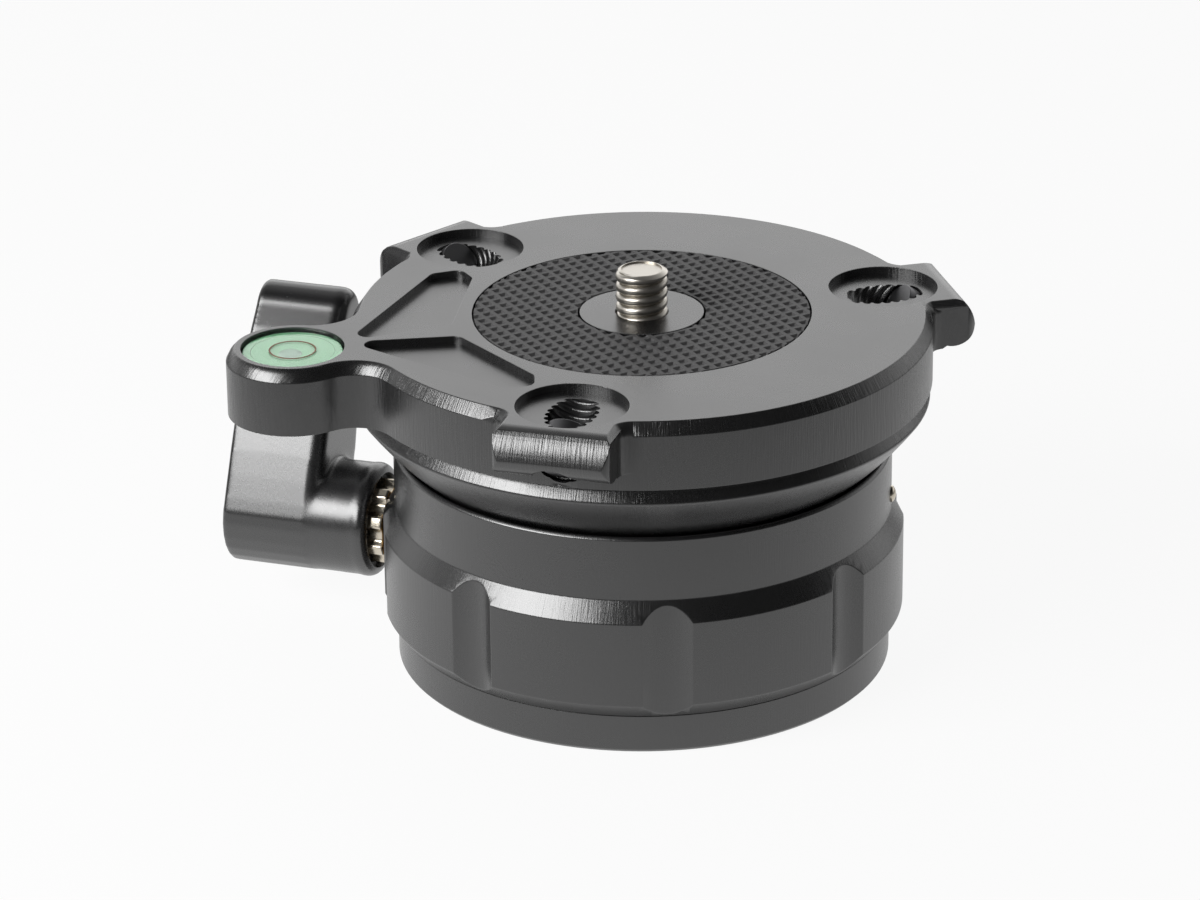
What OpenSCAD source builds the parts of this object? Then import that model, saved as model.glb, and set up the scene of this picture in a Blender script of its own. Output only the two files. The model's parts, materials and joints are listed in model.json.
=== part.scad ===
// Leveling head: a tilting top plate on a ball dish, held in a fluted housing by a clamping lever.
// Sizes in millimetres. Origin at the centre of the bottom face, +Z up, lever axis along -X.

/* [Housing] */
// Diameter of the plain upper wall
wall_d = 59.6; // [59.2:0.1:60.6]
// Diameter over the fluted grip
grip_d = 62.6; // [61.6:0.1:64]
// Diameter of the base ring
base_d = 59.4; // [58:0.1:60]
// Height of the base ring
base_h = 4.8; // [4.4:0.1:5.2]
// Height of the grip's lower chamfer
lower_chamfer_h = 2; // [1:0.1:2.4]
// Height of the grip's upright part
grip_h = 10.4; // [9.8:0.1:11]
// Height of the chamfer from grip to wall
upper_chamfer_h = 2.4; // [1.6:0.1:3]
// Height of the rim above the bottom face
rim_z = 27.4; // [26.8:0.1:27.5]
// Chamfer on the rim's outer edge
rim_chamfer = 0.3; // [0.2:0.05:0.4]
// Number of flutes round the grip
flute_count = 8; // [8:8:24]
// Radius of the cutter for one flute
flute_r = 4.6; // [3.5:0.1:6]
// Depth of a flute at its middle
flute_depth = 1.2; // [0.6:0.1:1.6]
// Chamfer on the bottom edge of the base ring
foot_chamfer = 0.5; // [0.2:0.1:1]

/* [Base fittings] */
// Diameter of the base plate's spigot
spigot_d = 48; // [44:0.5:50]
// Height of the base plate's spigot
spigot_h = 1.6; // [1:0.1:2]
// Radial clearance of pieces that are fixed in each other
seat_fit = 0.02; // [0.01:0.01:0.05]
// Diameter of the tripod thread bore
tripod_d = 9.72; // [9.5:0.01:9.9]
// Depth of the tripod thread bore
tripod_depth = 9; // [8:0.1:9.3]
// Outer diameter of the thread bush
bush_d = 14; // [12.5:0.1:16]
// Diameter of the thread bush's flange
bush_flange_d = 19; // [17:0.1:22]
// Thickness of the thread bush's flange
bush_flange_t = 1.5; // [1:0.1:2]
// Height of the thread bush
bush_h = 10; // [9.8:0.1:10.4]
// Number of screws in the base plate
base_screw_count = 4; // [4:4:8]
// Radius of the circle of base screws
base_screw_ring_r = 19; // [17:0.5:20.5]
// Shank diameter of a base screw
base_screw_d = 3; // [2.5:0.1:3.5]
// Head diameter of a base screw
base_screw_head_d = 5.6; // [5:0.1:6.2]
// Length of a base screw
base_screw_l = 8.6; // [7.5:0.1:9.2]
// Diameter of the domed pin in the wall
wall_pin_d = 2; // [1.6:0.1:2.4]
// Height of the domed pin above the bottom face
wall_pin_z = 21.2; // [20.8:0.1:22]
// How far the domed pin stands out
wall_pin_out = 0.6; // [0.4:0.1:0.8]
// Direction of the domed pin in degrees
wall_pin_az = 11; // [5:1:17]

/* [Ball joint] */
// Radius of the ball dish
ball_r = 42.4; // [42.2:0.05:42.5]
// Height of the ball's centre above the bottom face
ball_z = 58.5; // [58.3:0.1:58.7]
// Gap between the dish and its seat in the housing
seat_gap = 0.25; // [0.2:0.01:0.3]
// Wall thickness of the dish
dish_t = 5; // [4.6:0.1:5.4]
// Diameter of the opening in the bottom of the dish
dish_opening_d = 23.2; // [23:0.1:24]
// Diameter of the dish's flange
flange_d = 68.4; // [68:0.1:68.8]
// Height of the flange's chamfer
flange_chamfer_h = 1.7; // [1:0.1:2]
// Width of the flange's chamfer
flange_chamfer_w = 1; // [0.5:0.1:1.5]
// Gap between washers and dish
slide_gap = 0.2; // [0.1:0.01:0.25]
// Thickness of the floating washer
float_t = 3; // [2.6:0.1:3.2]
// Diameter of the floating washer
float_d = 34.4; // [34:0.1:36]
// Bore of the floating washer
float_bore_d = 17.4; // [17.2:0.1:18]
// Diameter of the clamp washer
clamp_d = 27.6; // [27:0.1:28.4]
// Thickness of the clamp washer at its middle
clamp_t = 3.5; // [3.2:0.1:3.7]
// Diameter of the tie bolt
bolt_d = 5; // [4.8:0.1:5.4]
// Running clearance round shafts and pins
run_fit = 0.05; // [0.03:0.01:0.08]
// Head diameter of the tie bolt
bolt_head_d = 10.4; // [9:0.1:11]
// Head height of the tie bolt
bolt_head_h = 3.2; // [2.8:0.1:3.4]
// Depth that the tie bolt is screwed into the housing
bolt_grip = 4; // [3.5:0.1:4.4]
// Free height of the spring washer
spring_washer_h = 1.3; // [1.1:0.1:1.5]
// Diameter of the spring washer
spring_washer_d = 12; // [11:0.1:14]
// Sheet thickness of the spring washer
spring_washer_t = 0.7; // [0.5:0.1:0.9]

/* [Top plate] */
// Diameter of the top plate
plate_d = 68.9; // [68:0.1:69.4]
// Height of the plate's top above the bottom face
plate_top = 43.5; // [43.4:0.1:44]
// Thickness of the top plate
plate_t = 8.1; // [8:0.05:8.2]
// Chamfer on the plate's top edge
plate_chamfer = 1; // [0.6:0.1:1.2]
// Direction of the level lobe in degrees
plate_turn = 212; // [211:1:213]
// Distance of the level lobe from the axis
lobe_reach = 42; // [41:0.1:43]
// Radius of the level lobe
lobe_r = 7.8; // [7.4:0.1:8.2]
// Fillet radius between lobe and plate
lobe_fillet = 4.5; // [3:0.1:6]
// Width of the ring spigot under the plate
ring_w = 3.4; // [2.5:0.1:3.6]
// Diameter of the ring spigot under the plate
ring_d = 58.4; // [58:0.1:58.6]
// Height of the ring spigot under the plate
ring_h = 2.2; // [1.5:0.1:2.3]

/* [Lugs] */
// Number of lugs
lug_count = 3; // [3:1:3]
// Distance of a lug's outer face from the axis
lug_reach = 39.5; // [39:0.1:39.8]
// Width of a lug
lug_w = 13.7; // [13:0.1:14.4]
// Height of a lug
lug_h = 6; // [5.6:0.1:6.4]
// Rounding of a lug's top outer edge
lug_round = 2.9; // [2:0.1:3.2]
// How far the lugs' underside rises to the tip
lug_rise = 2.6; // [1.6:0.1:2.9]
// Rounding of a lug's upright corners
lug_corner = 1.2; // [0.6:0.1:2]
// Chamfer on a lug's top side edges
lug_chamfer = 0.7; // [0.3:0.1:1]
// Fillet between a lug and the plate's edge
lug_fillet = 1.8; // [1:0.1:2.4]
// Diameter of the round sink on a lug
sink_d = 13; // [12:0.1:13.2]
// Distance of the sink from the axis
sink_reach = 29.8; // [29.4:0.1:30]
// Depth of the sink
sink_depth = 1; // [0.8:0.1:1.6]
// Diameter of a slanted set screw
set_screw_d = 5; // [4.6:0.1:5.2]
// Length of a slanted set screw
set_screw_l = 4.8; // [4:0.1:5]
// Slant of a set screw from upright in degrees
set_screw_slant = 54; // [52:1:55]
// Clearance of a screw in its thread
thread_gap = 0.1; // [0.05:0.01:0.15]

/* [Plate details] */
// Diameter of the rubber pad
pad_d = 40; // [39:0.1:41]
// Bore of the rubber pad
pad_bore_d = 14.9; // [14:0.1:16]
// Thickness of the rubber pad
pad_t = 1.5; // [1:0.1:2]
// Clearance round the rubber pad
pad_fit = 0.08; // [0.04:0.01:0.12]
// Depth of the two pockets
pocket_depth = 0.9; // [0.6:0.1:2]
// Width of the rib between the two pockets
rib_w = 3.8; // [3:0.1:6]
// Width of the rib at the level
rib_tip_w = 0.4; // [0.2:0.1:2]
// Start of the pockets along the rib, before their corner is rounded
pocket_start = 22.6; // [22:0.1:23]
// Reach of the pockets along the rib, before their corner is rounded
pocket_reach = 35.5; // [34.6:0.1:35.8]
// Place of the pockets' outer corner, from the rib's middle line
pocket_side = [21.3, 18.6]; // [17:0.1:22]
// Place of the pockets' end corner, from the rib's middle line
pocket_end = [17.6, 18.9]; // [16:0.1:20]
// Place of the pockets' inner corner, from the rib's middle line
pocket_tip = [16.9, 15.9]; // [15:0.1:18]
// Corner radius of the pockets
pocket_corner = 1.3; // [0.8:0.1:1.6]
// Diameter of the mounting stud
stud_d = 6.2; // [6:0.05:6.35]
// Diameter of the stud's shank inside the plate
stud_shank_d = 8; // [7.6:0.1:8.4]
// Height of the cone from the stud's shank to its free end
stud_cone_h = 0.6; // [0.4:0.1:0.8]
// Height of the stud above the plate
stud_h = 5.4; // [5:0.1:6]
// Chamfer on the stud's end
stud_chamfer = 0.7; // [0.4:0.1:1]
// Diameter of the stud's hidden head
stud_head_d = 11; // [10:0.1:12]
// Thickness of the stud's hidden head
stud_head_t = 2; // [1.6:0.1:2.4]

/* [Level] */
// Diameter of the vial cup
vial_d = 11.7; // [11:0.1:12]
// Height of the vial cup
vial_h = 6.4; // [6:0.1:6.6]
// How far the vial lies below the plate's top
vial_sunk = 0.4; // [0.2:0.1:0.6]
// Clearance round the vial cup
vial_fit = 0.2; // [0.1:0.01:0.25]
// Wall thickness of the vial cup
vial_wall = 0.9; // [0.7:0.1:1.1]
// Thickness of the vial's lens
lens_t = 1.1; // [0.9:0.1:1.3]
// Diameter of the bubble
bubble_d = 2.7; // [2.2:0.1:3]

/* [Lever] */
// Height of the lever's axis above the bottom face
lever_z = 12.2; // [12.1:0.1:12.3]
// Distance of the hub's inner face from the head's axis
hub_reach = 33.3; // [33.2:0.1:33.6]
// Diameter of the lever's hub
hub_d = 13.8; // [13.4:0.1:14.2]
// Diameter of the lip on the hub
lip_d = 14.2; // [14.2:0.1:14.6]
// Width of the lip on the hub
lip_w = 1.2; // [0.8:0.1:1.6]
// Distance of the arm's inner face from the head's axis
arm_in = 39.7; // [39.4:0.1:40]
// Distance of the arm's outer face from the head's axis at the hub
arm_out = 52; // [51:0.1:53]
// Distance of the arm's outer face from the head's axis at the top
arm_top_out = 51.2; // [50.5:0.1:51.8]
// Height of the arm above the lever's axis
arm_h = 27.9; // [27:0.1:28.4]
// Width of the arm at the hub
arm_w = 14.1; // [14:0.1:14.4]
// Width of the arm at its top
arm_top_w = 7; // [6.5:0.1:8]
// Rounding of the arm's ends
arm_round = 1.8; // [1.5:0.1:2.4]
// How far the lever leans back from upright
lever_lean = 20; // [0:1:24]
// Diameter over the star's teeth
star_d = 10.4; // [10:0.1:10.6]
// Depth of the star's teeth
star_tooth = 0.9; // [0.6:0.1:1]
// Number of teeth on the star
star_teeth = 8; // [8:4:12]
// Length of the star
star_l = 5.7; // [5.5:0.1:5.9]
// Clearance round the star
star_fit = 0.15; // [0.1:0.01:0.2]
// Length of the teeth inside the lever
grip_teeth_l = 3.5; // [3:0.1:3.6]
// Thickness of the web behind the teeth
web_t = 2; // [1.6:0.1:2.4]
// Diameter of the lever screw
screw_d = 6; // [5.6:0.1:6.2]
// Gap between the star and the lever bush
star_gap = 0.3; // [0.2:0.05:0.35]
// Diameter of the cap screw's shank
cap_d = 3.8; // [3.5:0.1:4]
// Diameter of the cap screw's head
cap_head_d = 8.4; // [8:0.1:8.6]
// Height of the cap screw's head
cap_head_h = 2.4; // [2:0.1:2.8]
// Room for the spring between web and cap screw
spring_room = 7.4; // [7:0.1:7.8]
// Diameter of the spring's chamber
chamber_d = 9.2; // [9:0.1:9.4]
// Wall of the spring sleeve
spring_wall = 1; // [0.8:0.1:1.2]

/* [Brake] */
// Outer diameter of the lever bush
lever_bush_d = 10; // [9.4:0.1:10.4]
// How far the lever bush stands out of the grip
lever_bush_out = 0.2; // [0.1:0.05:0.3]
// Length of the lever bush
lever_bush_l = 4.5; // [4:0.1:4.7]
// Diameter of the wedge plunger
wedge_d = 7; // [6.6:0.1:7.2]
// Length of the plunger's round part
wedge_l = 2.6; // [2.2:0.1:2.8]
// Room for the plunger's way back to the lever bush
wedge_play = 0.6; // [0.5:0.05:0.7]
// Diameter of the plunger's blunt tip
wedge_tip_d = 1.2; // [0.8:0.1:1.6]
// Gap between lever screw, plunger and brake pin
push_gap = 0.15; // [0.1:0.01:0.2]
// Diameter of the brake pin
brake_d = 6; // [5.6:0.1:6.2]
// Distance of the brake pin from the axis
brake_reach = 22.5; // [22.2:0.1:22.8]
// Height of the brake pin's top
brake_top = 19.6; // [19.2:0.1:19.8]
// Gap between the brake pad and the dish
brake_gap = 0.1; // [0.06:0.01:0.14]

/* [Hidden] */
$fn = 96;
eps = 0.01;
black = [0.1, 0.1, 0.11];
steel = [0.72, 0.72, 0.74];
brass = [0.72, 0.6, 0.36];
wall_r = wall_d / 2;
grip_r = grip_d / 2;
base_r = base_d / 2;
grip_z = base_h + lower_chamfer_h;
grip_top = grip_z + grip_h;
wall_z = grip_top + upper_chamfer_h;
seat_r = ball_r + seat_gap;
seat_low = ball_z - seat_r;
spigot_top = base_h + spigot_h;
dish_in_r = ball_r - dish_t;
dish_top = plate_top - plate_t;
float_r = dish_in_r - slide_gap;
float_in_r = float_r - float_t;
clamp_r = float_in_r - slide_gap;
clamp_low = ball_z - clamp_r;
clamp_top = clamp_low + clamp_t;
head_z = clamp_top + spring_washer_h + 0.08;
plate_r = plate_d / 2;
lug_low = plate_top - lug_h;
sink_z = plate_top - sink_depth;
vial_top = plate_top - vial_sunk;
vial_low = vial_top - vial_h;
lens_z = vial_top - lens_t;
star_in = grip_r + lever_bush_out + star_gap;
star_out = star_in + star_l;
teeth_in = star_out + star_fit - grip_teeth_l;
web_in = star_out + star_fit;
web_out = web_in + web_t;
cap_in = web_out + spring_room;
bush_in = grip_r + lever_bush_out - lever_bush_l;
wedge_end = brake_reach - brake_d / 2 - wedge_play;
wedge_back = bush_in - wedge_play;
wedge_front = wedge_back - wedge_l;
wedge_point = wedge_front - (wedge_d - wedge_tip_d) / 2;
slope_z = lever_z + wedge_tip_d / 2 - wedge_point + push_gap * sqrt(2);

// Unit vector along v
function unit(v) = v / norm(v);

// Cosine of the corner at b between a and c
function corner_cos(a, b, c) = unit(a - b) * unit(c - b);

// Centre of the rounding circle at corner b
function corner_centre(a, b, c, r) =
    b + unit(unit(a - b) + unit(c - b)) * r / sqrt((1 - corner_cos(a, b, c)) / 2);

// Distance from corner b to where its rounding starts
function corner_run(a, b, c, r) =
    r * sqrt((1 + corner_cos(a, b, c)) / (1 - corner_cos(a, b, c)));

// Convex polygon with round corners
module rounded(pts, r) {
    n = len(pts);
    polygon([for (i = [0 : n - 1])
        let (a = pts[(i + n - 1) % n], b = pts[i], c = pts[(i + 1) % n], d = corner_run(a, b, c, r))
        each [b + unit(a - b) * d, b + unit(c - b) * d]]);
    for (i = [0 : n - 1])
        translate(corner_centre(pts[(i + n - 1) % n], pts[i], pts[(i + 1) % n], r))
            circle(r = r, $fn = 48);
}

// Hexagon given by its width across flats
module hexagon(w) {
    polygon([for (i = [0 : 5]) [cos(60 * i), sin(60 * i)] * w / sqrt(3)]);
}

// Star with rounded-off teeth, widened by g for the hole
module star(g) {
    ro = star_d / 2 + g;
    ri = star_d / 2 - star_tooth + g;
    p = 360 / star_teeth;
    w = 2 * asin(g / star_d);
    polygon([for (i = [0 : star_teeth - 1])
        each [ri * [cos(p * (i - 0.32) - w), sin(p * (i - 0.32) - w)],
            ro * [cos(p * (i - 0.18) - w), sin(p * (i - 0.18) - w)],
            ro * [cos(p * (i + 0.18) + w), sin(p * (i + 0.18) + w)],
            ri * [cos(p * (i + 0.32) + w), sin(p * (i + 0.32) + w)]]]);
}

// Children with +Z laid along the lever's axis, pointing out
module at_lever() {
    translate([0, 0, lever_z])
        rotate([0, -90, 0])
            children();
}

// Children along the lever's axis, turned with the lever's arm
module at_arm() {
    at_lever()
        rotate([0, 0, lever_lean])
            children();
}

// Children turned with the top plate, lobe along +X
module at_plate() {
    rotate([0, 0, plate_turn])
        children();
}

// Children once at each lug, lug along +X
module at_lugs() {
    for (i = [0 : lug_count - 1])
        rotate([0, 0, plate_turn + (i + 0.5) * 360 / lug_count])
            children();
}

// Children once at each base screw
module at_base_screws() {
    for (i = [0 : base_screw_count - 1])
        rotate([0, 0, (i + 0.5) * 360 / base_screw_count])
            translate([base_screw_ring_r, 0, 0])
                children();
}

// Children at the slanted screw's start, +Z pointing up and in
module at_set_screw() {
    translate([sink_reach, 0, sink_z])
        rotate([0, -set_screw_slant, 0])
            children();
}

// Cup with seat, fluted grip and bores
module housing() {
    color(black)
        difference() {
            rotate_extrude()
                polygon([[0, base_h], [base_r, base_h], [grip_r, grip_z], [grip_r, grip_top],
                    [wall_r, wall_z], [wall_r, rim_z - rim_chamfer], [wall_r - rim_chamfer, rim_z],
                    [0, rim_z]]);
            translate([0, 0, ball_z])
                sphere(r = seat_r, $fn = 128);
            for (i = [0 : flute_count - 1])
                rotate([0, 0, (i + 0.5) * 360 / flute_count])
                    translate([grip_r - flute_depth + flute_r, 0, base_h - 1])
                        cylinder(r = flute_r, h = wall_z - base_h + 2);
            translate([0, 0, base_h - eps])
                cylinder(d = spigot_d + 2 * seat_fit, h = spigot_h + eps);
            translate([0, 0, base_h])
                cylinder(d = bush_flange_d + 2 * seat_fit, h = spigot_h + bush_flange_t);
            translate([0, 0, base_h])
                cylinder(d = bush_d + 2 * seat_fit, h = bush_h - base_h + 0.1);
            translate([0, 0, seat_low - bolt_grip - 0.2])
                cylinder(d = bolt_d + 2 * seat_fit, h = bolt_grip + 5);
            at_base_screws()
                cylinder(d = base_screw_d + 2 * seat_fit, h = base_screw_l + 0.3);
            at_lever()
                translate([0, 0, bush_in])
                    cylinder(d = lever_bush_d + 2 * seat_fit, h = 20);
            at_lever()
                translate([0, 0, wedge_end])
                    cylinder(d = wedge_d + 2 * run_fit, h = bush_in - wedge_end + 1);
            translate([-brake_reach, 0, lever_z - wedge_d / 2])
                cylinder(d = brake_d + 2 * run_fit, h = 20);
            rotate([0, 0, wall_pin_az])
                translate([wall_r - 2.2, 0, wall_pin_z])
                    rotate([0, 90, 0])
                        cylinder(d = wall_pin_d + 2 * seat_fit, h = 4, $fn = 48);
        }
}

// Bottom disc with spigot and countersinks
module base_plate() {
    color(black)
        difference() {
            rotate_extrude()
                polygon([[0, 0], [base_r - foot_chamfer, 0], [base_r, foot_chamfer], [base_r, base_h],
                    [spigot_d / 2, base_h], [spigot_d / 2, spigot_top], [0, spigot_top]]);
            translate([0, 0, -1])
                cylinder(d = bush_d + 2 * seat_fit, h = spigot_top + 2);
            at_base_screws()
                translate([0, 0, -1])
                    cylinder(d = base_screw_d + 2 * seat_fit, h = spigot_top + 2, $fn = 48);
            at_base_screws()
                translate([0, 0, -eps])
                    cylinder(d1 = base_screw_head_d + 0.2, d2 = base_screw_d - 0.2,
                        h = (base_screw_head_d - base_screw_d) / 2 + 0.2, $fn = 48);
        }
}

// Steel bush with the tripod bore
module thread_bush() {
    color(steel)
        rotate_extrude()
            polygon([[tripod_d / 2, 0], [bush_d / 2, 0], [bush_d / 2, spigot_top],
                [bush_flange_d / 2, spigot_top], [bush_flange_d / 2, spigot_top + bush_flange_t],
                [bush_d / 2, spigot_top + bush_flange_t], [bush_d / 2, bush_h], [0, bush_h],
                [0, tripod_depth], [tripod_d / 2, tripod_depth]]);
}

// Countersunk screws of the base plate
module base_screws() {
    color(steel)
        at_base_screws()
            difference() {
                rotate_extrude($fn = 48)
                    polygon([[0, 0.1], [base_screw_head_d / 2 - 0.1, 0.1],
                        [base_screw_d / 2, (base_screw_head_d - base_screw_d) / 2 + 0.1],
                        [base_screw_d / 2, base_screw_l], [0, base_screw_l]]);
                linear_extrude(1.2)
                    hexagon(base_screw_d * 0.66);
            }
}

// Domed pin end on the wall
module wall_pin() {
    color(steel)
        rotate([0, 0, wall_pin_az])
            translate([wall_r - 2, 0, wall_pin_z])
                rotate([0, 90, 0])
                    intersection() {
                        cylinder(d = wall_pin_d, h = 2 + wall_pin_out, $fn = 48);
                        translate([0, 0, 2 + wall_pin_out - wall_pin_d * 0.7])
                            sphere(r = wall_pin_d * 0.7, $fn = 64);
                    }
}

// Bush that guides the lever screw
module lever_bush() {
    color(brass)
        at_lever()
            translate([0, 0, bush_in])
                difference() {
                    cylinder(d = lever_bush_d, h = lever_bush_l);
                    translate([0, 0, -1])
                        cylinder(d = screw_d + 2 * run_fit, h = lever_bush_l + 2);
                }
}

// Bolt that holds the dish down
module tie_bolt() {
    color(steel)
        difference() {
            union() {
                translate([0, 0, seat_low - bolt_grip])
                    cylinder(d = bolt_d, h = head_z - seat_low + bolt_grip + eps);
                translate([0, 0, head_z])
                    cylinder(d = bolt_head_d, h = bolt_head_h);
            }
            translate([0, 0, head_z + bolt_head_h - 1.8])
                linear_extrude(3)
                    hexagon(4);
        }
}

// Cone-shaped spring washer under the bolt's head
module spring_washer() {
    z = clamp_top + 0.04;
    color(steel)
        rotate_extrude()
            polygon([[bolt_d / 2 + 0.2, z + spring_washer_h - spring_washer_t], [spring_washer_d / 2, z],
                [spring_washer_d / 2, z + spring_washer_t], [bolt_d / 2 + 0.2, z + spring_washer_h]]);
}

// Washer with a round underside, turning on the bolt
module clamp_washer() {
    color(brass)
        difference() {
            intersection() {
                translate([0, 0, ball_z])
                    sphere(r = clamp_r, $fn = 128);
                translate([0, 0, clamp_low - 1])
                    cylinder(d = clamp_d, h = clamp_t + 1);
            }
            translate([0, 0, clamp_low - 2])
                cylinder(d = bolt_d + 2 * run_fit, h = clamp_t + 4);
        }
}

// Floating washer between clamp washer and dish
module float_washer() {
    color(brass)
        difference() {
            intersection() {
                translate([0, 0, ball_z])
                    sphere(r = float_r, $fn = 128);
                translate([0, 0, ball_z - float_r - 1])
                    cylinder(d = float_d, h = 12);
            }
            translate([0, 0, ball_z])
                sphere(r = float_in_r, $fn = 128);
            translate([0, 0, ball_z - float_r - 2])
                cylinder(d = float_bore_d, h = 14);
        }
}

// Round-bottomed dish with flange
module ball_dish() {
    color(black)
        difference() {
            intersection() {
                translate([0, 0, ball_z])
                    sphere(r = ball_r, $fn = 128);
                rotate_extrude()
                    polygon([[0, 0], [flange_d / 2, 0], [flange_d / 2, dish_top - flange_chamfer_h],
                        [flange_d / 2 - flange_chamfer_w, dish_top], [0, dish_top]]);
            }
            translate([0, 0, ball_z])
                sphere(r = dish_in_r, $fn = 128);
            cylinder(d = dish_opening_d, h = dish_top);
            translate([0, 0, dish_top - ring_h - 0.1])
                cylinder(d = ring_d + 2 * seat_fit, h = 10);
        }
}

// Chamfered disc standing on the plate's underside
module plate_disc(r) {
    c = plate_chamfer;
    rotate_extrude()
        polygon([[0, dish_top], [r, dish_top], [r, plate_top - c], [r - c, plate_top], [0, plate_top]]);
}

// Cutter for a concave edge with its chamfer
module edge_cutter(r) {
    c = plate_chamfer;
    rotate_extrude()
        polygon([[0, dish_top - 1], [r, dish_top - 1], [r, plate_top - c], [r + c + 1, plate_top + 1],
            [0, plate_top + 1]]);
}

// Lobe of the level with its waist
module plate_lobe() {
    a = plate_r + lobe_fillet;
    b = lobe_r + lobe_fillet;
    cx = (a * a - b * b + lobe_reach * lobe_reach) / (2 * lobe_reach);
    cy = sqrt(a * a - cx * cx);
    translate([lobe_reach, 0, 0])
        plate_disc(lobe_r);
    difference() {
        translate([0, 0, dish_top])
            linear_extrude(plate_t)
                polygon([[22, -21.6 * cy / cx], [cx, -cy], [lobe_reach, 0], [cx, cy], [22, 21.6 * cy / cx]]);
        for (s = [-1, 1])
            translate([cx, s * cy, 0])
                edge_cutter(lobe_fillet);
    }
}

// One lug along +X
module lug() {
    w = lug_w / 2;
    fy = w + lug_fillet;
    fx = sqrt((plate_r + lug_fillet) * (plate_r + lug_fillet) - fy * fy);
    intersection() {
        translate([0, 0, lug_low])
            linear_extrude(lug_h)
                rounded([[22, -w], [lug_reach, -w], [lug_reach, w], [22, w]], lug_corner);
        rotate([90, 0, 0])
            linear_extrude(40, center = true) {
                polygon([[10, lug_low], [fx, lug_low], [lug_reach, lug_low + lug_rise],
                    [lug_reach, plate_top - lug_round], [lug_reach - lug_round, plate_top],
                    [10, plate_top]]);
                translate([lug_reach - lug_round, plate_top - lug_round])
                    circle(r = lug_round, $fn = 64);
            }
        rotate([90, 0, 90])
            linear_extrude(60)
                polygon([[-w - 1, lug_low], [w + 1, lug_low], [w + 1, plate_top - lug_chamfer - 1],
                    [w - lug_chamfer, plate_top], [lug_chamfer - w, plate_top],
                    [-w - 1, plate_top - lug_chamfer - 1]]);
    }
    difference() {
        translate([0, 0, lug_low])
            linear_extrude(lug_h)
                polygon([[22, -21.6 * fy / fx], [fx, -fy], [fx, fy], [22, 21.6 * fy / fx]]);
        for (s = [-1, 1])
            translate([fx, s * fy, 0])
                edge_cutter(lug_fillet);
    }
}

// Plan of one pocket beside the level
module pocket_plan() {
    rounded([[pocket_start, rib_w / 2], [pocket_reach, rib_tip_w / 2], pocket_side, pocket_end, pocket_tip],
        pocket_corner);
}

// Top plate with lobe, lugs, pockets and seats
module top_plate() {
    shank_r = stud_shank_d / 2 + seat_fit;
    cone_z = plate_top - stud_cone_h;
    cone_w = (stud_shank_d - stud_d) / 2;
    color(black)
        difference() {
            union() {
                plate_disc(plate_r);
                at_plate()
                    plate_lobe();
                at_lugs()
                    lug();
                translate([0, 0, dish_top - ring_h])
                    cylinder(d = ring_d, h = ring_h + 1);
            }
            translate([0, 0, dish_top - ring_h - 1])
                cylinder(d = ring_d - 2 * ring_w, h = ring_h + 1);
            at_lugs()
                translate([sink_reach, 0, sink_z])
                    cylinder(d = sink_d, h = 5);
            at_lugs()
                at_set_screw()
                    translate([0, 0, -14])
                        cylinder(d = set_screw_d + 2 * thread_gap, h = 18, $fn = 48);
            at_plate() {
                translate([0, 0, plate_top - pocket_depth])
                    linear_extrude(5) {
                        pocket_plan();
                        mirror([0, 1])
                            pocket_plan();
                    }
                translate([lobe_reach, 0, vial_low])
                    cylinder(d = vial_d + 2 * vial_fit, h = 12);
            }
            translate([0, 0, plate_top - pad_t])
                difference() {
                    cylinder(d = pad_d + 2 * pad_fit, h = 5);
                    translate([0, 0, -1])
                        cylinder(d = pad_bore_d - 2 * pad_fit, h = 7);
                }
            rotate_extrude()
                polygon([[0, dish_top - 1], [shank_r, dish_top - 1], [shank_r, cone_z],
                    [shank_r - 1.5 * cone_w, cone_z + 1.5 * stud_cone_h], [0, cone_z + 1.5 * stud_cone_h]]);
            translate([0, 0, dish_top - 1])
                cylinder(d = stud_head_d + 2 * seat_fit, h = stud_head_t + 1);
        }
}

// Rubber ring, flush with the plate
module grip_pad() {
    color([0.2, 0.2, 0.2])
        translate([0, 0, plate_top - pad_t])
            difference() {
                cylinder(d = pad_d, h = pad_t);
                translate([0, 0, -1])
                    cylinder(d = pad_bore_d, h = pad_t + 2);
            }
}

// Stud for the head or camera, held by a head below
module mounting_stud() {
    r = stud_d / 2;
    t = plate_top + stud_h;
    color(steel)
        rotate_extrude()
            polygon([[0, dish_top], [stud_head_d / 2, dish_top], [stud_head_d / 2, dish_top + stud_head_t],
                [stud_shank_d / 2, dish_top + stud_head_t], [stud_shank_d / 2, plate_top - stud_cone_h],
                [r, plate_top], [r, t - stud_chamfer], [r - stud_chamfer, t], [0, t]]);
}

// Slanted set screws in the lugs
module set_screws() {
    color(steel)
        at_lugs()
            at_set_screw()
                translate([0, 0, -2.2 - set_screw_l])
                    difference() {
                        cylinder(d = set_screw_d, h = set_screw_l, $fn = 48);
                        translate([0, 0, -1])
                            linear_extrude(3)
                                hexagon(2.5);
                    }
}

// Cup of the level
module vial_cup() {
    color([0.75, 0.85, 0.4])
        at_plate()
            translate([lobe_reach, 0, vial_low])
                difference() {
                    cylinder(d = vial_d, h = vial_h);
                    translate([0, 0, vial_wall])
                        cylinder(d = vial_d - 2 * vial_wall, h = vial_h);
                }
}

// Liquid of the level with the room of its bubble
module vial_fluid() {
    z = vial_low + vial_wall;
    color([0.6, 0.85, 0.1])
        at_plate()
            translate([lobe_reach, 0, 0])
                difference() {
                    translate([0, 0, z])
                        cylinder(d = vial_d - 2 * vial_wall - 2 * seat_fit, h = lens_z - z);
                    translate([0, 0, lens_z - bubble_d * 0.2])
                        sphere(d = bubble_d, $fn = 48);
                }
}

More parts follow.
